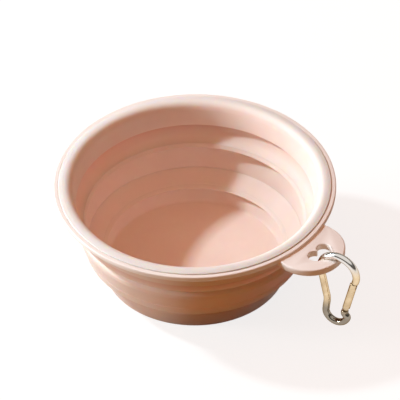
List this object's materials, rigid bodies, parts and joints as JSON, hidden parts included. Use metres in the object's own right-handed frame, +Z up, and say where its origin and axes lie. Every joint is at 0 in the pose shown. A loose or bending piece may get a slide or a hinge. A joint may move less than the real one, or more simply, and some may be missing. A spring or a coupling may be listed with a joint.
{
  "type": "collapsible dog bowl",
  "caption": "Collapsible dog bowl: soft stepped wall that folds flat on inverting webs, a rigid rim hoop with a heart-cut tab, and a snap hook with a sprung gate.",
  "frame": {"origin": "centre of the flat underside of the base", "axes": "+Z up out of the bowl's mouth, +X from the bowl's centre along the tab"},
  "size_m": [0.1589, 0.13, 0.0528],
  "materials": {
    "soft_wall": "matte peach silicone",
    "hoop": "satin pale peach plastic",
    "hook": "bright plated, warm",
    "spring": "plain drawn wire"
  },
  "bodies": {
    "base": {"base_wall": "soft_wall", "base_floor": "soft_wall", "lower_fold": "soft_wall"},
    "middle": {"middle_wall": "soft_wall", "upper_fold": "soft_wall"},
    "rim": {"rim_hoop": "hoop", "rim_lip": "soft_wall", "upper_wall": "soft_wall"},
    "hook": {"hook_body": "hook", "gate_rivet": "hook"},
    "gate": {"hook_gate": "hook", "latch_pin": "hook", "gate_plunger": "spring", "gate_spring": "spring"}
  },
  "joints": [
    {"name": "lower_collapse", "type": "slide", "parent": "base", "child": "middle", "axis": [0, 0, -1], "range_m": [0, 0.015], "deforming": ["lower_fold"]},
    {"name": "upper_collapse", "type": "slide", "parent": "middle", "child": "rim", "axis": [0, 0, -1], "range_m": [0, 0.02], "deforming": ["upper_fold"]},
    {"name": "hook_swing", "type": "hinge", "parent": "rim", "child": "hook", "pos_m": [0.08348, 0.00038, 0.04227], "axis": [0.1219, -0.9925, 0], "range_deg": [-45, 90]},
    {"name": "gate_open", "type": "hinge", "parent": "hook", "child": "gate", "pos_m": [0.08834, 0.00097, 0.02357], "axis": [0.1219, -0.9925, 0], "range_deg": [0, 30], "stiffness_Nm_per_rad": 0.04, "springref_deg": -8.59}
  ]
}
